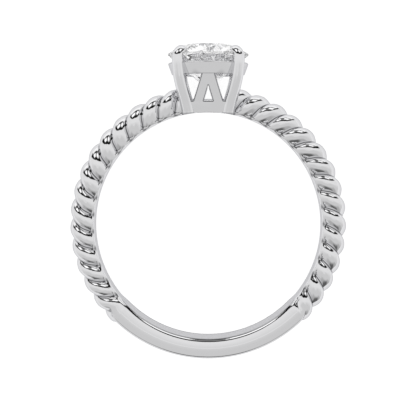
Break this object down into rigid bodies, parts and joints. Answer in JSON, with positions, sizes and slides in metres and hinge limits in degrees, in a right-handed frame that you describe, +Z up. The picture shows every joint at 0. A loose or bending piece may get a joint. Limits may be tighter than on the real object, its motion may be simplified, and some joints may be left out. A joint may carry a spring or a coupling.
{
  "type": "solitaire engagement ring",
  "caption": "Polished white-metal ring with a twisted rope shank, a plain sizing bar and a round brilliant held by claws on a pierced setting.",
  "frame": {"origin": "on the ground, under the middle of the ring's outline as it lies on its side", "axes": "+Y from the sizing bar to the stone, +X to the right of the side that the picture shows, +Z up, through the finger hole"},
  "size_m": [0.0212, 0.024, 0.0061],
  "materials": {
    "white_gold": "mirror-polished white gold",
    "diamond": "cut and polished diamond, colourless"
  },
  "bodies": {
    "root": {"band_with_setting": "white_gold", "diamond": "diamond"}
  },
  "joints": []
}
